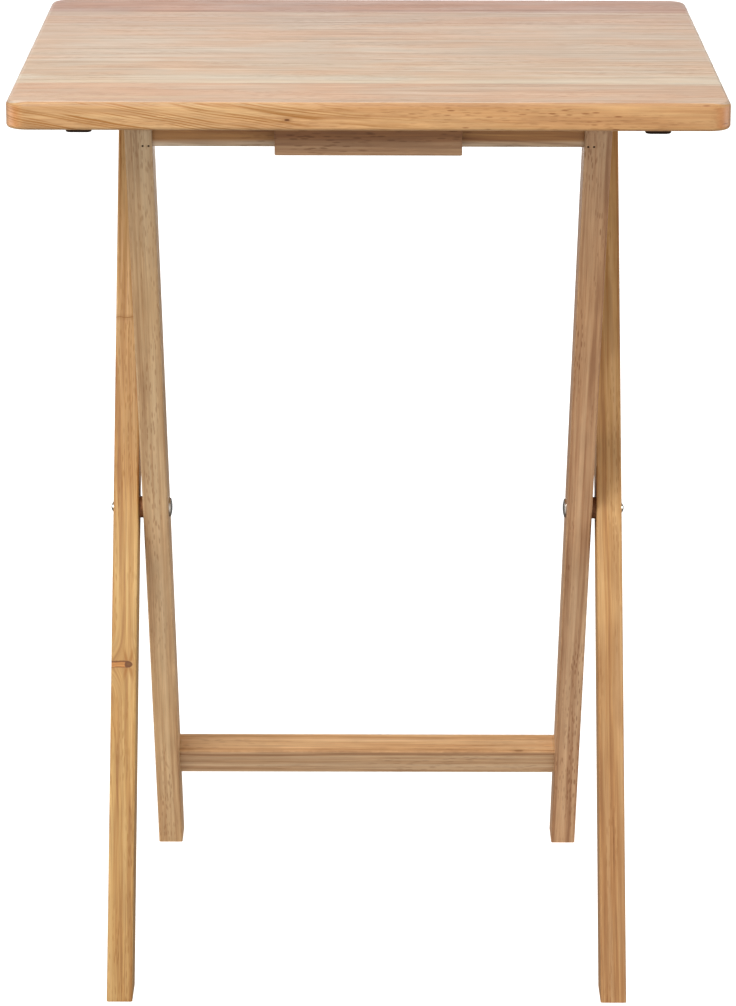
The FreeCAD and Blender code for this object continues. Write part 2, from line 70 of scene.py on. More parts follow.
# Strengths of the air by direction, then the lamps in watts and the floor's sun in watts per square metre.
AIR_AHEAD = 1.19
AIR_ASIDE = 0.20
AIR_BELOW = 0.60
KEY_POWER = 40.0
OVERHEAD_POWER = 35.0
SIDE_POWER = 30.0
BACK_POWER = 22.0
FLOOR_SUN = 4.2

# Screws under the top: radii, heights, the arm and half width of the cross at its mouth and floor, and
# how far the first screw and then each next one is turned, in radians.
SCREW_SIDES = 32
SCREW_HEAD = 4.0 * MM
SCREW_HEAD_TALL = 2.8 * MM
SCREW_SHANK = 1.9 * MM
SCREW_POINT = 3.0 * MM
RECESS_DEPTH = 1.4 * MM
RECESS_MOUTH = (2.1 * MM, 0.50 * MM)
RECESS_FLOOR = (1.3 * MM, 0.34 * MM)
FIRST_TURN = 0.4
TURN_STEP = 1.1

FLOOR_REACH = 40.0


class Graph:
    """Makes shader nodes and joins them, so that a material reads as a formula."""

    def __init__(self, tree):
        self.tree = tree
        tree.nodes.clear()

    def feed(self, socket, value):
        if isinstance(value, bpy.types.NodeSocket):
            self.tree.links.new(value, socket)
        else:
            socket.default_value = value

    def node(self, kind, inputs=None, **settings):
        made = self.tree.nodes.new("ShaderNode" + kind)
        for name, setting in settings.items():
            setattr(made, name, setting)
        for name, value in (inputs or {}).items():
            self.feed(made.inputs[name], value)
        return made

    def math(self, operation, first, second=0.0, third=0.0):
        made = self.node("Math", operation=operation)
        for socket, value in zip(made.inputs, (first, second, third)):
            self.feed(socket, value)
        return made.outputs[0]

    def vector(self, operation, first, second=(0.0, 0.0, 0.0)):
        made = self.node("VectorMath", {0: first, 1: second}, operation=operation)
        return made.outputs["Value" if operation in ("LENGTH", "DISTANCE") else "Vector"]

    def scaled(self, vector, x, y, z):
        return self.vector("MULTIPLY", vector, (x, y, z))

    def split(self, vector):
        return self.node("SeparateXYZ", {0: vector}).outputs

    def join(self, x, y, z):
        return self.node("CombineXYZ", {0: x, 1: y, 2: z}).outputs[0]

    def spot(self):
        """The place on the piece, in metres."""
        return self.node("TexCoord").outputs["Object"]

    def normal(self):
        """The way that the surface faces, in the piece's own frame."""
        return self.node("TexCoord").outputs["Normal"]

    def apart(self, first, second):
        """How far two numbers are from each other."""
        return self.math("ABSOLUTE", self.math("SUBTRACT", first, second))

    def step(self, value, start, end, low=0.0, high=1.0):
        """A smooth step from low at start to high at end."""
        made = self.node("MapRange", {0: value, 1: start, 2: end, 3: low, 4: high},
                         interpolation_type="SMOOTHSTEP")
        return made.outputs[0]

    def noise(self, vector, detail=2.0, roughness=0.5):
        inputs = {"Vector": vector, "Scale": 1.0, "Detail": detail, "Roughness": roughness}
        return self.node("TexNoise", inputs).outputs[0]

    def line_noise(self, value, detail=1.0):
        """Noise along one number."""
        made = self.node("TexNoise", noise_dimensions="1D")
        self.feed(made.inputs["W"], value)
        made.inputs["Scale"].default_value = 1.0
        made.inputs["Detail"].default_value = detail
        return made.outputs[0]

    def cells(self, vector):
        """Distance to the nearest of a scatter of points, about one in each unit cube."""
        return self.node("TexVoronoi", {"Vector": vector, "Scale": 1.0}).outputs["Distance"]

    def mix(self, share, first, second, blend="MIX"):
        made = self.node("Mix", data_type="RGBA", blend_type=blend)
        for socket, value in zip((made.inputs[0], made.inputs[6], made.inputs[7]),
                                 (share, first, second)):
            self.feed(socket, (*value, 1.0) if isinstance(value, tuple) else value)
        return made.outputs[2]

    def tinted(self, colour, gain):
        """The colour times another, part by part."""
        return self.mix(1.0, colour, gain, "MULTIPLY")

    def ramp(self, value, stops):
        made = self.node("ValToRGB", {0: value})
        elements = made.color_ramp.elements
        while len(elements) < len(stops):
            elements.new(0.5)
        for element, (place, colour) in zip(elements, stops):
            element.position = place
            element.color = (*colour, 1.0)
        return made.outputs[0]

    def product(self, *values):
        result = values[0]
        for value in values[1:]:
            result = self.math("MULTIPLY", result, value)
        return result

    def total(self, *values):
        result = values[0]
        for value in values[1:]:
            result = self.math("ADD", result, value)
        return result

    def centred(self, value, gain):
        """A 0 to 1 noise as a swing of plus or minus half of gain about zero."""
        return self.math("MULTIPLY", self.math("SUBTRACT", value, 0.5), gain)


def new_material(name):
    material = bpy.data.materials.new(name)
    material.use_nodes = True
    return material, Graph(material.node_tree)


def finish_surface(graph, settings, links, bump=None, bump_depth=0.0):
    """The Principled shader: settings are the same all over, links vary over the surface."""
    shader = graph.node("BsdfPrincipled")
    for name, value in settings.items():
        shader.inputs[name].default_value = value
    for name, value in links.items():
        graph.feed(shader.inputs[name], value)
    if bump is not None:
        relief = graph.node("Bump", {"Height": bump, "Distance": bump_depth, "Strength": 1.0})
        graph.feed(shader.inputs["Normal"], relief.outputs[0])
    output = graph.node("OutputMaterial")
    graph.feed(output.inputs[0], shader.outputs[0])


def paint(node, material):
    """Gives a CAD node its material."""
    mesh = NODES[node].data
    mesh.materials.clear()
    mesh.materials.append(material)


class Tone(NamedTuple):
    """Colours of one board, from its dark growth bands to its pale ones, and its vessel lines."""
    dark: tuple
    warm: tuple
    body: tuple
    pale: tuple
    vessel: tuple


class Place(NamedTuple):
    """Where a board's own frame is: its grain runs along the frame's X or Z."""
    origin: tuple
    turn: float
    grain: str


class Figure(NamedTuple):
    """The board's figure: where the tree's heart lay, how the rings slope against the grain, how wide
    and how marked the growth bands are, and how strong the late-wood lines and the vessels are."""
    heart: tuple
    slope: tuple
    band: float
    contrast: float
    seed: float
    lines: float = 0.30
    pores: float = 0.60


class Grown(NamedTuple):
    """Patterns of grown wood, each from 0 to 1."""
    rings: object
    lines: object
    broad: object
    streaks: object
    fibres: object
    patches: object
    vessels: object


TOP_TONE = Tone((0.318, 0.192, 0.114), (0.370, 0.233, 0.143), (0.402, 0.268, 0.172),
                (0.435, 0.309, 0.206), (0.200, 0.104, 0.056))
OUTER_TONE = Tone((0.300, 0.145, 0.042), (0.410, 0.224, 0.072), (0.475, 0.290, 0.108),
                  (0.535, 0.350, 0.150), (0.230, 0.092, 0.018))
INNER_LEFT_TONE = Tone((0.265, 0.148, 0.070), (0.340, 0.210, 0.108), (0.385, 0.254, 0.138),
                       (0.430, 0.298, 0.172), (0.190, 0.088, 0.034))
INNER_RIGHT_TONE = Tone((0.230, 0.112, 0.052), (0.315, 0.172, 0.088), (0.360, 0.210, 0.112),
                        (0.405, 0.250, 0.142), (0.150, 0.058, 0.022))
RAIL_TONE = Tone((0.240, 0.112, 0.044), (0.330, 0.172, 0.073), (0.385, 0.220, 0.104),
                 (0.435, 0.268, 0.140), (0.150, 0.068, 0.028))
BLOCK_TONE = Tone((0.230, 0.112, 0.052), (0.295, 0.156, 0.082), (0.340, 0.192, 0.106),
                  (0.380, 0.230, 0.138), (0.140, 0.064, 0.030))
DOWEL_TONE = Tone((0.460, 0.290, 0.150), (0.520, 0.350, 0.200), (0.560, 0.400, 0.250),
                  (0.600, 0.450, 0.300), (0.380, 0.220, 0.110))

STAVES = tuple(f"top_stave_{number}" for number in range(1, 9))
# Painted light: how much paler than TOP_TONE the upper face of each stave is painted, from the front to the
# rear.
STAVE_LIGHT_GAINS = ((1.10, 1.17, 1.30), (1.14, 1.40, 1.66), (1.11, 1.27, 1.46), (1.12, 1.31, 1.56),
               (1.13, 1.31, 1.56), (1.14, 1.30, 1.55), (1.10, 1.25, 1.52), (0.97, 0.99, 1.24))
# Painted shade: the sides and the underside of the top are painted more orange and darker than its upper
# face.
SIDE_SHADE_GAIN = (1.09, 0.89, 0.57)
# The upper face wavers slowly between a pinker and a greyer finish.
BLUSH = (1.03, 0.955, 0.91)
BLEACH = (0.99, 1.03, 1.06)
# End grain, and the pale streaks in the first and the second stave.
RUST = (0.430, 0.155, 0.045)
CREAM = (0.470, 0.370, 0.250)
SAPWOOD = (0.520, 0.430, 0.310)
# How dark the eased edges are: painted shade on the top's upper one, and what is worn into every board's
# edges.
ARRIS_SHADE = 0.80
EDGE_GRIME = 0.22

LACQUER = {"IOR": 1.45, "Specular IOR Level": 0.32,
           "Coat Weight": 0.10, "Coat Roughness": 0.35, "Coat IOR": 1.45}
FIBRE_DEPTH = 0.06 * MM
DULL_DEPTH = 0.05 * MM
RUB_DEPTH = 0.01 * MM


def own_frame(graph, place):
    """The board's own coordinates, in metres: x, y and z of its leaning frame."""
    mapping = graph.node("Mapping", {"Vector": graph.spot(), "Location": place.origin,
                                     "Rotation": (place.turn, 0.0, 0.0)}, vector_type="TEXTURE")
    return mapping.outputs[0]


def grain_frame(graph, local, place):
    """The same place as across, depth and along the grain."""
    if place.grain == "Z":
        return local
    x, y, z = graph.split(local)
    return graph.join(y, z, x)


def edge_distance(graph, local, low, high):
    """Distance along the surface of a box to its nearest arris: the middle one of three gaps."""
    gaps = []
    for part, near, far in zip(graph.split(local), low, high):
        gaps.append(graph.math("MINIMUM", graph.math("SUBTRACT", part, near),
                               graph.math("SUBTRACT", far, part)))
    first, second, third = gaps
    least = graph.math("MINIMUM", first, second)
    most = graph.math("MAXIMUM", first, second)
    return graph.math("MAXIMUM", least, graph.math("MINIMUM", most, third))


def grown_wood(graph, grain, figure):
    """The patterns of the wood at a grain coordinate."""
    offset = (figure.seed * 1.37, figure.seed * 0.71, figure.seed * 2.19)
    spot = graph.vector("ADD", grain, offset)

    def stretched(across, along):
        return graph.scaled(spot, across, across, along)

    wander = graph.centred(graph.noise(stretched(26.0, 4.5), 3.0), 6.0 * MM)
    across, depth, along = graph.split(grain)
    off_x, off_y = (graph.math("MULTIPLY_ADD", along, slope, graph.math("SUBTRACT", part, heart))
                    for part, slope, heart in zip((across, depth), figure.slope, figure.heart))
    radius = graph.math("ADD", graph.vector("LENGTH", graph.join(off_x, off_y, 0.0)), wander)
    ring_count = graph.math("MULTIPLY_ADD", radius, 1.0 / figure.band, figure.seed)
    rings = graph.step(graph.line_noise(ring_count, 2.0), 0.25, 0.75)
    lines = threads(graph, radius, 0.5 * figure.band, figure.seed, 0.13)
    lines = graph.product(lines, graph.step(graph.noise(stretched(60.0, 14.0), 1.0), 0.40, 0.60))
    vessel_cells = graph.cells(stretched(640.0, 105.0))
    vessel_gate = graph.step(graph.noise(stretched(70.0, 10.0), 2.0), 0.42, 0.62)
    return Grown(
        rings=rings,
        lines=lines,
        broad=graph.noise(stretched(48.0, 4.0), 3.0, 0.6),
        streaks=graph.step(graph.noise(stretched(400.0, 8.0), 4.0, 0.66), 0.30, 0.70),
        fibres=graph.noise(stretched(1300.0, 24.0), 3.0, 0.65),
        patches=graph.noise(stretched(130.0, 42.0), 3.0, 0.6),
        vessels=graph.product(graph.step(vessel_cells, 0.42, 0.20), vessel_gate),
    )


def threads(graph, value, gap, seed, thickness):
    """Thin lines, unevenly spaced by about gap, where a noise along a number crosses its middle."""
    level = graph.line_noise(graph.math("MULTIPLY_ADD", value, 1.0 / gap, seed + 50.0), 1.0)
    return graph.step(graph.apart(level, 0.5), thickness, 0.2 * thickness)


def shaded(graph, colour, factor):
    """The colour times a number that varies over the surface."""
    return graph.tinted(colour, graph.join(factor, factor, factor))


def wood_colour(graph, tone, figure, grown):
    """The board's colour from its bands, streaks and vessels."""
    rest = 1.0 - figure.contrast
    level = graph.total(graph.product(grown.rings, figure.contrast),
                        graph.product(grown.broad, rest * 0.45), graph.product(grown.streaks, rest * 0.55))
    colour = graph.ramp(level, [(0.20, tone.dark), (0.40, tone.warm), (0.56, tone.body), (0.80, tone.pale)])
    colour = shaded(graph, colour, graph.total(1.0, graph.centred(grown.fibres, 0.50),
                                               graph.centred(grown.patches, 0.28)))
    colour = graph.mix(graph.product(grown.lines, figure.lines), colour, tone.vessel)
    return graph.mix(graph.product(grown.vessels, figure.pores), colour, tone.vessel)


def wood(name, tone, place, box, figure, extras=()):
    """A lacquered board. Extras bend its grain and tint its colour before the edges are worn."""
    material, graph = new_material(name)
    local = own_frame(graph, place)
    grain = grain_frame(graph, local, place)
    for extra in extras:
        if hasattr(extra, "bend"):
            grain = extra.bend(graph, grain)
    grown = grown_wood(graph, grain, figure)
    colour = wood_colour(graph, tone, figure, grown)
    for extra in extras:
        colour = extra.tint(graph, colour, local, grain, tone)
    end_grain = end_grain_mask(graph, place)
    colour = graph.mix(graph.product(end_grain, 0.55), colour, tone.dark)
    edge = edge_distance(graph, local, *box)
    chafe = graph.noise(graph.scaled(local, 160.0, 160.0, 160.0), 3.0, 0.65)
    worn = graph.product(graph.step(edge, 2.2 * MM, 0.3 * MM), graph.step(chafe, 0.30, 0.62))
    colour = graph.mix(graph.product(worn, EDGE_GRIME), colour, tone.vessel)
    gloss = graph.total(0.50, graph.centred(grown.streaks, 0.10), graph.product(grown.vessels, 0.16),
                        graph.product(worn, 0.12), graph.product(end_grain, 0.10))
    height = graph.total(graph.product(grown.fibres, 0.55), graph.product(grown.streaks, 0.30),
                         graph.product(grown.vessels, -0.9))
    finish_surface(graph, LACQUER, {"Base Color": colour, "Roughness": gloss}, height, FIBRE_DEPTH)
    return material


def end_grain_mask(graph, place):
    """1 where the surface is cut across the grain."""
    normal = graph.normal()
    if place.grain == "X":
        return graph.step(graph.split(graph.vector("ABSOLUTE", normal))[0], 0.80, 0.97)
    along_grain = graph.node("VectorMath", {0: normal, 1: (0.0, -math.sin(place.turn), math.cos(place.turn))},
                             operation="DOT_PRODUCT").outputs["Value"]
    return graph.step(graph.math("ABSOLUTE", along_grain), 0.72, 0.88)


# Extras for wood(). Each tints the colour by its place on the board, in the board's own frame (local)
# or across, into and along the grain (grain), and by the board's tone. One may also bend the grain.


class PaintedLitTop:
    """The upper face of the top is painted paler and less orange than its sides, as painted light from above;
    its arris is painted a little browner and darker, as painted shade.
    """

    def __init__(self, gain, side_gain):
        self.gain = gain
        self.side_gain = side_gain

    def tint(self, graph, colour, local, grain, tone):
        normal = graph.normal()
        up = graph.split(normal)[2]
        end = graph.split(graph.vector("ABSOLUTE", normal))[0]
        faced_up = graph.math("MULTIPLY_ADD", end, 0.55, up)
        cloud = graph.noise(graph.scaled(local, 9.0, 30.0, 9.0), 3.0, 0.6)
        blush = graph.mix(graph.step(cloud, 0.36, 0.64), BLUSH, BLEACH)
        # Painted light: a paler lit copy of the colour for the upper face, and a darker, more orange shaded
        # copy for the sides.
        lit = graph.tinted(graph.tinted(colour, self.gain), blush)
        side = graph.tinted(colour, self.side_gain)
        colour = graph.mix(graph.step(faced_up, 0.88, 0.99), side, lit)
        # Painted shade along the top's upper arris.
        arris = graph.product(graph.step(up, 0.10, 0.55), graph.step(up, 0.99, 0.85))
        return graph.mix(arris, colour, shaded(graph, colour, ARRIS_SHADE))


class RustyEnds:
    """The end grain of the top has taken up more of the warm finish."""

    def tint(self, graph, colour, local, grain, tone):
        x, _, z = graph.split(graph.vector("ABSOLUTE", graph.normal()))
        mask = graph.product(graph.step(x, 0.12, 0.60), graph.step(z, 0.35, 0.05), 0.60)
        return graph.mix(mask, colour, RUST)


class GlueLine:
    """A hairline of dark glue along the joints between staves."""

    def __init__(self, edges):
        self.edges = edges

    def tint(self, graph, colour, local, grain, tone):
        y = graph.split(local)[1]
        for edge in self.edges:
            gap = graph.apart(y, edge)
            colour = graph.mix(graph.step(gap, 0.50 * MM, 0.05 * MM, 0.0, 0.50), colour, tone.dark)
        return colour


class Streak:
    """A pale or dark streak along the grain, at a place across the board."""

    def __init__(self, across, width, colour, share, start, end):
        self.across = across
        self.width = width
        self.colour = colour
        self.share = share
        self.start = start
        self.end = end

    def tint(self, graph, colour, local, grain, tone):
        across, _, along = graph.split(grain)
        sway = graph.centred(graph.noise(graph.scaled(grain, 0.0, 0.0, 14.0), 2.0), 5.0 * MM)
        gap = graph.apart(graph.math("ADD", across, sway), self.across)
        mask = graph.step(gap, self.width, 0.2 * self.width)
        ragged = graph.step(graph.noise(graph.scaled(grain, 300.0, 300.0, 18.0), 3.0), 0.30, 0.60)
        fade = 25.0 * MM
        span = graph.product(graph.step(along, self.start - fade, self.start + fade),
                             graph.step(along, self.end + fade, self.end - fade))
        return graph.mix(graph.product(mask, span, ragged, self.share), colour, self.colour)


class RakedFront:
    """The front of the first stave: late-wood lines that run down to the right and level out, and short
    open vessels on the right."""
    fall = 0.17
    level_from = -10.0 * MM
    softness = 0.14
    line_gap = 1.7 * MM
    line_colour = (0.240, 0.090, 0.010)
    band_period = 5.0 * MM
    left_gain = (1.02, 1.11, 1.20)
    dash_colour = (0.170, 0.052, 0.010)

    def tint(self, graph, colour, local, grain, tone):
        x, y, z = graph.split(local)
        run = graph.math("SMOOTH_MIN", graph.math("SUBTRACT", x, self.level_from), 0.0, self.softness)
        sway = graph.centred(graph.noise(graph.scaled(local, 16.0, 0.0, 60.0), 2.0), 3.5 * MM)
        height = graph.total(z, graph.product(run, self.fall), sway)
        lines = threads(graph, height, self.line_gap, 1.7, 0.070)
        along = graph.join(graph.math("MULTIPLY", x, 20.0), 0.0, graph.math("MULTIPLY", height, 260.0))
        broken = graph.step(graph.noise(along, 1.0), 0.38, 0.56)
        bands = graph.line_noise(graph.math("MULTIPLY_ADD", height, 1.0 / self.band_period, 3.0), 2.0)
        leftward = graph.step(x, 60.0 * MM, -60.0 * MM, 0.25, 1.0)
        level = graph.split(graph.vector("ABSOLUTE", graph.normal()))[2]
        front = graph.step(level, 0.95, 0.70)
        far_left = graph.product(graph.step(x, 20.0 * MM, -140.0 * MM), front)
        colour = graph.tinted(colour, graph.mix(far_left, (1.0, 1.0, 1.0), self.left_gain))
        colour = shaded(graph, colour, graph.total(1.0, graph.product(graph.centred(bands, 0.10), front)))
        mask = graph.product(lines, broken, leftward, front, 0.85)
        colour = graph.mix(mask, colour, self.line_colour)
        dash_place = graph.join(graph.math("MULTIPLY", x, 95.0), 0.5, graph.math("MULTIPLY", z, 520.0))
        dashes = graph.cells(dash_place)
        gate = graph.step(graph.noise(graph.scaled(local, 22.0, 0.0, 160.0), 1.0), 0.44, 0.60)
        rightward = graph.step(x, -60.0 * MM, 50.0 * MM)
        mask = graph.product(graph.step(dashes, 0.34, 0.14), gate, rightward, front, 0.72)
        return graph.mix(mask, colour, self.dash_colour)


class LightShadeAndToneDrift:
    """Slow changes of colour along the board, partly painted light and shade and partly the wood's own tone:
    gains at places along the grain.
    """

    def __init__(self, *stops):
        self.stops = stops

    def tint(self, graph, colour, local, grain, tone):
        along = graph.split(grain)[2]
        first, last = self.stops[0][0], self.stops[-1][0]
        share = graph.math("DIVIDE", graph.math("SUBTRACT", along, first), last - first)
        gains = graph.ramp(share, [((place - first) / (last - first), gain) for place, gain in self.stops])
        return graph.tinted(colour, gains)


class SpikeKnot:
    """A branch cut lengthways: a reddish band between two dark rims, with a dark eye at its end."""
    rim = 2.1 * MM
    eye_half = 2.0 * MM
    eye_reach = 2.3 * MM
    bend_reach = 15.0 * MM
    flesh = (0.500, 0.220, 0.055)
    flesh_line = (0.360, 0.120, 0.022)
    glow = (0.400, 0.190, 0.058)
    bark = (0.120, 0.033, 0.000)
    eye_dark = (0.045, 0.012, 0.000)
    eye_light = (0.230, 0.082, 0.004)
    flame = (0.270, 0.100, 0.010)

    def __init__(self, across, along):
        self.across = across
        self.along = along

    def bend(self, graph, grain):
        """Fibres part round the knot."""
        across, depth, along = graph.split(grain)
        gap = graph.math("SUBTRACT", along, self.along)
        near = graph.math("EXPONENT", graph.product(gap, gap, -1.0 / self.bend_reach ** 2))
        squeeze = graph.math("SUBTRACT", 1.0, graph.product(near, 0.62))
        shifted = graph.product(graph.math("SUBTRACT", across, self.across), squeeze)
        return graph.join(graph.math("ADD", shifted, self.across), depth, along)

    def tint(self, graph, colour, local, grain, tone):
        x, _, z = graph.split(local)
        wobble = graph.centred(graph.noise(graph.scaled(local, 220.0, 60.0, 220.0), 2.0), 1.8 * MM)
        off_x = graph.math("SUBTRACT", x, self.across)
        off_z = graph.math("ADD", graph.math("SUBTRACT", z, self.along), wobble)
        gap = graph.math("ABSOLUTE", off_z)
        band_side = graph.step(off_x, 2.0 * MM, 0.0)
        halo = graph.product(graph.step(gap, 2.4 * self.rim, 0.9 * self.rim),
                             graph.step(off_x, 6.0 * MM, 1.0 * MM), 0.20)
        colour = graph.mix(halo, colour, self.glow)
        grainy = graph.noise(graph.scaled(local, 90.0, 60.0, 1600.0), 2.0)
        flesh = graph.mix(graph.step(grainy, 0.35, 0.65), self.flesh, self.flesh_line)
        colour = graph.mix(graph.product(graph.step(gap, 1.05 * self.rim, 0.8 * self.rim), band_side, 0.80),
                           colour, flesh)
        for place, half, share in ((self.rim, 0.90 * MM, 0.95), (-self.rim, 0.80 * MM, 0.50),
                                   (0.15 * self.rim, 0.45 * MM, 0.35)):
            line = graph.step(graph.apart(off_z, place), half, 0.2 * half)
            colour = graph.mix(graph.product(line, band_side, share), colour, self.bark)
        colour = self.flames(graph, colour, off_x, gap)
        taper = graph.math("MULTIPLY_ADD", off_x, 70.0, 1.0)
        shape = graph.vector("LENGTH", graph.join(graph.math("DIVIDE", off_x, self.eye_reach),
                                                  graph.product(off_z, taper, 1.0 / self.eye_half), 0.0))
        eye_rings = graph.line_noise(graph.math("MULTIPLY", shape, 4.0))
        heart = graph.mix(eye_rings, self.eye_dark, self.eye_light)
        colour = graph.mix(graph.step(shape, 1.0, 0.85), colour, heart)
        outline = graph.step(graph.apart(shape, 1.0), 0.38, 0.12)
        return graph.mix(graph.product(outline, 0.95), colour, self.bark)

    def flames(self, graph, colour, off_x, gap):
        """Dark fibres that curve in towards the eye from above and below."""
        lean = graph.math("MULTIPLY_ADD", gap, 0.20, 0.6 * MM)
        for turn in (1.0, -1.2):
            away = graph.apart(off_x, graph.math("MULTIPLY", lean, turn))
            reach = graph.product(graph.step(gap, 15.0 * MM, 3.0 * MM), graph.step(gap, 1.5 * MM, 3.5 * MM))
            mask = graph.product(graph.step(away, 1.8 * MM, 0.3 * MM), reach, 0.75)
            colour = graph.mix(mask, colour, self.flame)
        return colour


class CrossMark:
    """A fine dark crack across a leg, with darker wood about it."""

    def __init__(self, along):
        self.along = along

    def tint(self, graph, colour, local, grain, tone):
        wobble = graph.centred(graph.noise(graph.scaled(local, 150.0, 150.0, 90.0), 2.0), 2.2 * MM)
        z = graph.split(local)[2]
        gap = graph.math("ABSOLUTE", graph.math("ADD", graph.math("SUBTRACT", z, self.along), wobble))
        colour = graph.mix(graph.step(gap, 3.5 * MM, 0.5 * MM, 0.0, 0.40), colour, tone.dark)
        return graph.mix(graph.step(gap, 0.6 * MM, 0.15 * MM, 0.0, 0.70), colour, tone.vessel)


class PinKnot:
    """A tiny dark knot with a little tail of shadow along the grain."""
    shade = (0.250, 0.105, 0.030)
    core = (0.100, 0.028, 0.002)

    def __init__(self, centre, size, share=1.0):
        self.centre = centre
        self.size = size
        self.share = share

    def tint(self, graph, colour, local, grain, tone):
        offset = graph.vector("DIVIDE", graph.vector("SUBTRACT", local, self.centre), self.size)
        reach = graph.vector("LENGTH", offset)
        shadow = graph.step(reach, 2.8, 0.9, 0.0, 0.55 * self.share)
        colour = graph.mix(shadow, colour, self.shade)
        return graph.mix(graph.step(reach, 1.15, 0.6, 0.0, self.share), colour, self.core)


class PaintedLightBand:
    """Painted light and shade across a bar: a change of colour from one gain to another along an axis of its
    own frame.
    """

    def __init__(self, axis, near, far, near_gain, far_gain):
        self.axis = axis
        self.near = near
        self.far = far
        self.near_gain = near_gain
        self.far_gain = far_gain

    def tint(self, graph, colour, local, grain, tone):
        share = graph.step(graph.split(local)[self.axis], self.near, self.far)
        return graph.tinted(colour, graph.mix(share, self.near_gain, self.far_gain))


def node_box(node, place):
    """Lowest and highest corners of a CAD node in a board's own frame."""
    turn_back = Matrix.Rotation(-place.turn, 3, "X")
    origin = Vector(place.origin)
    points = [turn_back @ (vertex.co - origin) for vertex in NODES[node].data.vertices]
    low = tuple(min(point[axis] for point in points) for axis in range(3))
    high = tuple(max(point[axis] for point in points) for axis in range(3))
    return low, high


def scaled_tone(tone, gain):
    return Tone(*(tuple(part * factor for part, factor in zip(colour, gain)) for colour in tone))


# The hearts are measured from the middle of each stave, the slopes against the length of the top.
STAVE_FIGURES = (
    Figure((-0.300, -0.060), (0.03, 0.000), 5.0 * MM, 0.30, 3.1, 0.15, 0.30),
    Figure((-0.260, -0.080), (0.02, 0.000), 4.5 * MM, 0.30, 7.7, 0.15, 0.25),
    Figure((0.290, -0.030), (0.02, 0.000), 5.0 * MM, 0.30, 12.3, 0.20, 0.30),
    Figure((-0.250, 0.090), (-0.02, 0.000), 5.5 * MM, 0.32, 17.9, 0.20, 0.30),
    Figure((0.170, -0.100), (0.02, 0.010), 4.0 * MM, 0.30, 23.5, 0.20, 0.30),
    Figure((-0.180, -0.040), (-0.02, 0.000), 5.0 * MM, 0.33, 29.2, 0.20, 0.30),
    Figure((0.160, 0.120), (0.03, 0.010), 4.5 * MM, 0.35, 34.8, 0.20, 0.30),
    Figure((-0.170, -0.060), (-0.02, 0.010), 5.0 * MM, 0.38, 41.1, 0.20, 0.30),
)


def make_top():
    """The staves of the top. The first, in front, carries the raked figure and a pin knot."""
    whole_low = tuple(min(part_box(node)[0][axis] for node in STAVES) for axis in range(3))
    whole_high = tuple(max(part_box(node)[1][axis] for node in STAVES) for axis in range(3))
    place = Place((0.0, 0.0, 0.0), 0.0, "X")
    front, top = whole_low[1], whole_high[2]
    pin_knot = PinKnot((-54.0 * MM, front, top - 11.6 * MM), (2.0 * MM, 4.0 * MM, 0.8 * MM))
    cream = Streak(front + 20.0 * MM, 6.0 * MM, CREAM, 0.55, -215.0 * MM, -120.0 * MM)
    for number, (node, gain, figure) in enumerate(zip(STAVES, STAVE_LIGHT_GAINS, STAVE_FIGURES), start=1):
        low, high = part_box(node)
        centre = Vector((0.0, (low.y + high.y) / 2, (low.z + high.z) / 2))
        shifted = Figure((centre.y + figure.heart[0], centre.z + figure.heart[1]), *figure[1:])
        joints = [edge for edge in (low.y, high.y) if abs(edge) < whole_high[1] - 1.0 * MM]
        # The second extra paints light on each stave's upper face and shade on its sides and arris.
        extras = [GlueLine(joints), PaintedLitTop(gain, SIDE_SHADE_GAIN), RustyEnds()]
        if number == 1:
            extras += [cream, RakedFront(), pin_knot]
        if number == 2:
            extras.append(Streak(low.y + 7.0 * MM, 6.0 * MM, SAPWOOD, 0.50, -250.0 * MM, 250.0 * MM))
        paint(node, wood(f"top_wood_{number}", TOP_TONE, place, (whole_low, whole_high), shifted, extras))


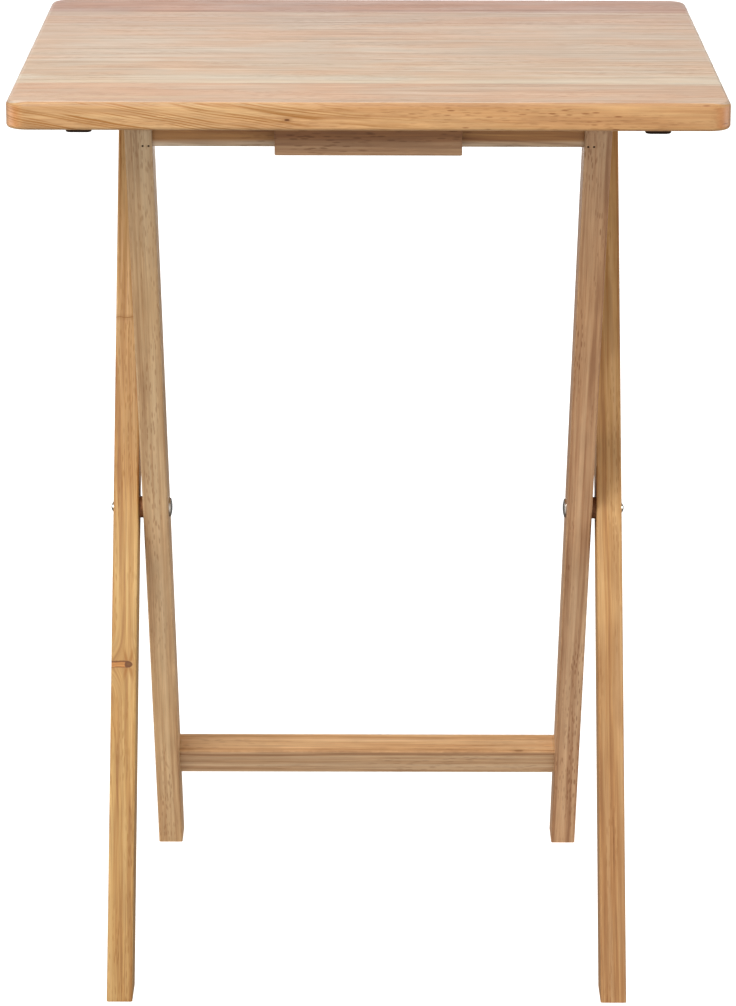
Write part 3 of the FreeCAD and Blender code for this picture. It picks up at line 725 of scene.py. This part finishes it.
def make_legs():
    """The four legs. Places along a leg are in metres from the pivots, upwards."""
    inner_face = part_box("outer_leg_left")[1].x
    spike_knot = SpikeKnot(inner_face - 5.8 * MM, -119.4 * MM)
    outer_place = Place(tuple(PIVOT), -LEG_LEAN, "Z")
    inner_place = Place(tuple(PIVOT), LEG_LEAN, "Z")
    # Each drift paints light and shade along its leg, with some of the wood's own change of tone.
    legs = (
        ("outer_leg_left", OUTER_TONE, outer_place,
         Figure((-0.230, -0.075), (0.006, 0.030), 5.0 * MM, 0.36, 2.3, 0.35, 0.38),
         [spike_knot, CrossMark(139.8 * MM),
          LightShadeAndToneDrift((-0.345, (0.80, 0.73, 0.62)), (-0.285, (0.82, 0.76, 0.66)), (-0.142, (0.95, 0.93, 0.85)),
                (-0.039, (1.00, 0.98, 0.92)), (0.020, (0.84, 0.72, 0.57)), (0.152, (1.07, 1.02, 1.10)),
                (0.350, (1.00, 0.95, 1.00)))]),
        # The right outer leg's tone is a darker copy of the left one's, as painted shade.
        ("outer_leg_right", scaled_tone(OUTER_TONE, (0.96, 0.93, 0.92)), outer_place,
         Figure((0.130, -0.080), (-0.010, 0.020), 4.5 * MM, 0.36, 8.9, 0.35, 0.38),
         [LightShadeAndToneDrift((-0.345, (0.82, 0.74, 0.77)), (-0.285, (0.85, 0.77, 0.80)), (-0.142, (0.92, 0.86, 0.90)),
                (-0.039, (1.06, 1.02, 1.06)), (0.350, (0.95, 0.88, 0.85)))]),
        ("inner_leg_left", INNER_LEFT_TONE, inner_place,
         Figure((-0.120, -0.070), (0.008, 0.010), 5.0 * MM, 0.28, 14.6, 0.15, 0.46),
         [LightShadeAndToneDrift((-0.350, (1.40, 1.30, 1.15)), (-0.290, (1.41, 1.33, 1.21)), (-0.190, (1.43, 1.35, 1.22)),
                (-0.090, (1.50, 1.47, 1.42)), (0.057, (1.25, 1.23, 1.19)), (0.212, (1.16, 1.11, 1.01)),
                (0.350, (1.11, 1.14, 1.17)))]),
        ("inner_leg_right", INNER_RIGHT_TONE, inner_place,
         Figure((0.190, -0.050), (0.015, 0.020), 4.0 * MM, 0.30, 21.8, 0.20, 0.62),
         [LightShadeAndToneDrift((-0.350, (1.42, 1.36, 1.26)), (-0.290, (1.40, 1.37, 1.29)), (-0.190, (1.37, 1.40, 1.38)),
                (-0.090, (1.34, 1.37, 1.35)), (0.057, (1.25, 1.21, 1.15)), (0.212, (1.16, 1.11, 1.00)),
                (0.350, (1.15, 1.19, 1.20)))]),
    )
    for node, tone, place, figure, extras in legs:
        paint(node, wood(node + "_wood", tone, place, node_box(node, place), figure, extras))


def make_bars():
    """The stretcher, which leans with its legs, and all that lies level under the top."""
    level = Place((0.0, 0.0, 0.0), 0.0, "X")
    low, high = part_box("lower_stretcher")
    leaning = Place((0.0, (low.y + high.y) / 2, (low.z + high.z) / 2), LEG_LEAN, "X")
    bar_box = node_box("lower_stretcher", leaning)
    bar_front, bar_top = bar_box[0][1], bar_box[1][2]
    # Painted light: the stretcher is painted paler, most of all on its upper face.
    lit_top = PaintedLightBand(2, bar_top - 1.6 * MM, bar_top - 0.3 * MM, (1.26, 1.38, 1.57), (1.59, 1.66, 1.70))
    pin_knot = PinKnot((118.0 * MM, bar_front + 1.5 * MM, bar_top), (4.0 * MM, 1.0 * MM, 1.5 * MM), 0.45)
    figure = Figure((-0.05, 0.04), (0.02, 0.03), 4.5 * MM, 0.40, 11.4, 0.20, 0.35)
    paint("lower_stretcher", wood("stretcher_wood", RAIL_TONE, leaning, bar_box, figure, [lit_top, pin_knot]))
    low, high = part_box("inner_top_rail")
    # Painted shade on the rail under the top, with a painted pale reflection along its lowest edge.
    shadow = PaintedLightBand(2, low.z + 2.0 * MM, low.z + 6.0 * MM, (1.33, 1.75, 2.50), (0.88, 0.73, 0.46))
    figure = Figure((low.y - 0.05, low.z - 0.04), (0.0, 0.05), 4.0 * MM, 0.45, 5.2)
    paint("inner_top_rail", wood("rail_wood", RAIL_TONE, level, (tuple(low), tuple(high)), figure, [shadow]))
    block_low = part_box("catch_block")[0].z
    # Painted shadow of the top's overhang on the upper part of the catch block; its lower part is painted
    # paler.
    shadow = PaintedLightBand(2, block_low + 4.0 * MM, block_low + 14.0 * MM, (1.14, 1.18, 1.10), (0.63, 0.46, 0.24))
    for node, tone, seed, extras in (("catch_block", BLOCK_TONE, 16.2, [shadow]),
                                     ("hinge_cleat_left", RAIL_TONE, 27.4, []),
                                     ("hinge_cleat_right", RAIL_TONE, 33.3, [])):
        low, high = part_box(node)
        figure = Figure((low.y - 0.04, high.z + 0.03), (0.04, 0.05), 4.0 * MM, 0.4, seed)
        paint(node, wood(node + "_wood", tone, level, (tuple(low), tuple(high)), figure, extras))
    for node, seed in (("rail_dowels", 44.0), ("stretcher_dowels", 49.0)):
        figure = Figure((0.0, 0.0), (0.0, 0.0), 3.0 * MM, 0.3, seed)
        paint(node, wood(node + "_wood", DOWEL_TONE, level, node_box(node, level), figure))


def make_metal(name, colour, roughness, tarnish_and_reflection):
    """Plated steel with fine rub marks, dull stained patches, and a painted dark reflection on its under
    sides.
    """
    material, graph = new_material(name)
    spot = graph.spot()
    rub = graph.noise(graph.scaled(spot, 900.0, 2600.0, 2600.0), 3.0, 0.6)
    cloud = graph.noise(graph.scaled(spot, 210.0, 210.0, 210.0), 3.0, 0.6)
    stained = graph.step(cloud, 0.48, 0.75)
    # Painted reflection: faces that look down are darkened, as a painted dark reflection of the ground.
    under = graph.step(graph.split(graph.normal())[2], 0.30, -0.50)
    base = graph.mix(graph.product(stained, 0.5), colour, tarnish_and_reflection)
    base = graph.mix(graph.product(under, 0.85), base, tarnish_and_reflection)
    gloss = graph.total(roughness, graph.centred(rub, 0.10), graph.product(stained, 0.12))
    finish_surface(graph, {"Metallic": 1.0}, {"Base Color": base, "Roughness": gloss}, rub, RUB_DEPTH)
    return material


def make_dull(name, light, dark, roughness, grain_size, shine=0.5):
    """A matt moulded or pressed material with a grain."""
    material, graph = new_material(name)
    spot = graph.spot()
    fine = graph.noise(graph.vector("MULTIPLY", spot, (1 / grain_size,) * 3), 3.0, 0.65)
    cloud = graph.noise(graph.vector("MULTIPLY", spot, (0.12 / grain_size,) * 3), 2.0)
    base = graph.mix(graph.step(graph.math("MULTIPLY_ADD", fine, 0.6, graph.product(cloud, 0.4)), 0.3, 0.7),
                     dark, light)
    gloss = graph.total(roughness, graph.centred(fine, 0.15))
    settings = {"IOR": 1.48, "Specular IOR Level": shine}
    finish_surface(graph, settings, {"Base Color": base, "Roughness": gloss}, fine, DULL_DEPTH)
    return material


def make_hardware():
    """Metal, fibre and rubber. Gives back the zinc plate, for the screws."""
    nickel = make_metal("bright_nickel", (0.70, 0.66, 0.60), 0.20, (0.150, 0.105, 0.070))
    zinc = make_metal("zinc_plate", (0.66, 0.66, 0.66), 0.30, (0.40, 0.38, 0.34))
    fibre = make_dull("pressed_fibre", (0.340, 0.130, 0.036), (0.170, 0.062, 0.019), 0.62, 0.5 * MM)
    rubber = make_dull("dark_rubber", (0.026, 0.010, 0.003), (0.012, 0.005, 0.002), 0.80, 0.4 * MM, 0.12)
    brad = make_metal("oxide_steel", (0.060, 0.036, 0.024), 0.45, (0.020, 0.012, 0.008))
    for side in SIDES:
        for node in ("pivot_rivet", "pivot_cap", "hinge_pin"):
            paint(f"{node}_{side}", nickel)
        paint(f"hinge_washer_{side}", zinc)
        paint(f"pivot_spacer_{side}", fibre)
        paint(f"bumper_{side}", rubber)
    paint("rail_brads", brad)
    return zinc


def add_ring(mesh, centre, radius, height):
    """A level ring of vertices about an upright axis."""
    turns = [2 * math.pi * step / SCREW_SIDES for step in range(SCREW_SIDES)]
    return [mesh.verts.new((centre.x + radius * math.cos(turn), centre.y + radius * math.sin(turn), height))
            for turn in turns]


def add_cross(mesh, centre, arm, half_width, turn, height):
    """A level loop of vertices at the twelve corners of a cross."""
    quarter = [(half_width, -half_width), (arm, -half_width), (arm, half_width)]
    corners = []
    for number in range(4):
        angle = turn + number * math.pi / 2
        for x, y in quarter:
            corners.append((centre.x + x * math.cos(angle) - y * math.sin(angle),
                            centre.y + x * math.sin(angle) + y * math.cos(angle)))
    return [mesh.verts.new((x, y, height)) for x, y in corners]


def bridge(mesh, first, second, smooth):
    """Quads between two loops with the same number of vertices."""
    for number, vertex in enumerate(first):
        following = (number + 1) % len(first)
        face = mesh.faces.new((vertex, first[following], second[following], second[number]))
        face.smooth = smooth


def closed_edges(mesh, loop):
    return [mesh.edges.get((vertex, loop[(number + 1) % len(loop)])) for number, vertex in enumerate(loop)]


def add_screw(mesh, centre, low, top, turn):
    """A pan-head screw, head down, with a cross recess pressed into its head."""
    profile = ((SCREW_HEAD - 0.6 * MM, low), (SCREW_HEAD - 0.2 * MM, low + 0.2 * MM),
               (SCREW_HEAD, low + 0.7 * MM), (SCREW_HEAD, low + SCREW_HEAD_TALL),
               (SCREW_SHANK, low + SCREW_HEAD_TALL), (SCREW_SHANK, top - SCREW_POINT), (0.3 * MM, top))
    rings = [add_ring(mesh, centre, radius, height) for radius, height in profile]
    for first, second in zip(rings, rings[1:]):
        bridge(mesh, first, second, True)
    mesh.faces.new(rings[-1])
    mouth = add_cross(mesh, centre, *RECESS_MOUTH, turn, low)
    floor = add_cross(mesh, centre, *RECESS_FLOOR, turn, low + RECESS_DEPTH)
    bridge(mesh, mouth, floor, False)
    mesh.faces.new(floor)
    face_edges = closed_edges(mesh, rings[0]) + closed_edges(mesh, mouth)
    bmesh.ops.triangle_fill(mesh, edges=face_edges, use_beauty=True)


def screw_places(node):
    """Centres of the separate screws in a CAD node, from their tips, and their lowest and top heights."""
    low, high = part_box(node)
    tips = [vertex.co for vertex in NODES[node].data.vertices if vertex.co.z > high.z - 0.01 * MM]
    centres = []
    for tip in tips:
        near = [other for other in tips if (other - tip).length < 3 * SCREW_SHANK]
        centre = sum(near, Vector()) / len(near)
        if all((centre - other).length > SCREW_SHANK for other in centres):
            centres.append(centre)
    return centres, low.z, high.z


def make_screws(zinc):
    """Screws with a cross recess in place of the plain CAD screws under the top."""
    for node in ("catch_block_screws", "cleat_screws"):
        centres, low, top = screw_places(node)
        mesh = bmesh.new()
        for number, centre in enumerate(centres):
            add_screw(mesh, centre, low, top, FIRST_TURN + TURN_STEP * number)
        bmesh.ops.recalc_face_normals(mesh, faces=mesh.faces)
        data = bpy.data.meshes.new(node + "_crossed")
        mesh.to_mesh(data)
        mesh.free()
        data.materials.append(zinc)
        screws = bpy.data.objects.new(node + "_crossed", data)
        bpy.context.scene.collection.objects.link(screws)
        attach(screws, "tabletop")
        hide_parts(node)


def make_floor():
    """A pale floor that sends no light up to the table and doesn't show in its metal."""
    mesh = bpy.data.meshes.new("floor")
    corners = [(x * FLOOR_REACH, y * FLOOR_REACH, 0.0) for x, y in ((-1, -1), (1, -1), (1, 1), (-1, 1))]
    mesh.from_pydata(corners, [], [(0, 1, 2, 3)])
    floor = bpy.data.objects.new("floor", mesh)
    bpy.context.scene.collection.objects.link(floor)
    material, graph = new_material("pale_floor")
    mottle = graph.noise(graph.scaled(graph.spot(), 3.0, 3.0, 3.0), 3.0)
    colour = graph.mix(mottle, (0.80, 0.80, 0.80), (0.82, 0.82, 0.82))
    finish_surface(graph, {"Roughness": 0.9, "Specular IOR Level": 0.1}, {"Base Color": colour})
    mesh.materials.append(material)
    floor.visible_diffuse = False
    floor.visible_glossy = False
    return floor


def make_world():
    """Studio air that lights most from in front. Seen directly, it is plain white all round."""
    world = bpy.data.worlds.new("studio")
    bpy.context.scene.world = world
    world.use_nodes = True
    graph = Graph(world.node_tree)
    direction = graph.node("TexCoord").outputs["Generated"]
    _, y, z = graph.split(direction)
    level = graph.step(y, -0.85, -0.05, AIR_AHEAD, AIR_ASIDE)
    strength = graph.math("MAXIMUM", level, graph.step(z, -0.3, -0.9, 0.0, AIR_BELOW))
    seen = graph.node("LightPath").outputs["Is Camera Ray"]
    strength = graph.math("MAXIMUM", strength, seen)
    background = graph.node("Background", {"Color": (1.0, 1.0, 1.0, 1.0), "Strength": strength})
    output = graph.node("OutputWorld")
    graph.feed(output.inputs[0], background.outputs[0])


def add_area(name, place, target, size, power):
    """A rectangular soft box that faces a target."""
    lamp = bpy.data.lights.new(name, "AREA")
    lamp.shape = "RECTANGLE"
    lamp.size, lamp.size_y = size
    lamp.energy = power
    lamp_object = bpy.data.objects.new(name, lamp)
    lamp_object.location = place
    aim = Vector(target) - Vector(place)
    lamp_object.rotation_euler = aim.to_track_quat("-Z", "Y").to_euler()
    bpy.context.scene.collection.objects.link(lamp_object)
    return lamp_object


def make_lights(floor):
    """A soft key from above the viewer's left and fills round the table, all kept off the floor,
    and a sun without shadows that lights only the floor, so that it is evenly white."""
    middle = (0.0, 0.0, 0.33)
    lamps = (
        add_area("key", (-0.8, -1.5, 2.1), (0.0, 0.0, 0.40), (0.9, 0.9), KEY_POWER),
        add_area("overhead", (-0.1, -0.1, 2.5), (0.0, 0.0, 0.6), (1.6, 1.6), OVERHEAD_POWER),
        add_area("fill_left", (-2.5, 0.25, 0.45), middle, (1.2, 0.8), SIDE_POWER),
        add_area("fill_right", (2.5, 0.25, 0.45), middle, (1.2, 0.8), SIDE_POWER),
        add_area("fill_back", (0.0, 2.6, 0.45), middle, (1.6, 0.6), BACK_POWER),
    )
    sun = bpy.data.lights.new("floor_sun", "SUN")
    sun.energy = FLOOR_SUN
    sun.use_shadow = False
    sun_object = bpy.data.objects.new("floor_sun", sun)
    bpy.context.scene.collection.objects.link(sun_object)
    floor_only = bpy.data.collections.new("floor_only")
    floor_only.objects.link(floor)
    sun_object.light_linking.receiver_collection = floor_only
    no_floor = bpy.data.collections.new("no_floor")
    no_floor.objects.link(floor)
    for lamp in lamps:
        lamp.light_linking.receiver_collection = no_floor
    no_floor.collection_objects[0].light_linking.link_state = "EXCLUDE"


def make_camera():
    """A long lens in front and a little above, pitched down, without shift."""
    data = bpy.data.cameras.new("camera")
    data.sensor_width = CAMERA_SENSOR
    data.lens = CAMERA_LENS
    data.clip_start = 0.1
    data.clip_end = 200.0
    camera = bpy.data.objects.new("camera", data)
    level = Matrix.Rotation(math.radians(90) - CAMERA_PITCH, 4, "X")
    camera.matrix_world = Matrix.Translation(CAMERA_PLACE) @ level @ Matrix.Rotation(CAMERA_ROLL, 4, "Z")
    bpy.context.scene.collection.objects.link(camera)
    bpy.context.scene.camera = camera


make_top()
make_legs()
make_bars()
make_screws(make_hardware())
make_world()
make_lights(make_floor())
make_camera()
bpy.context.scene.view_settings.view_transform = "Standard"
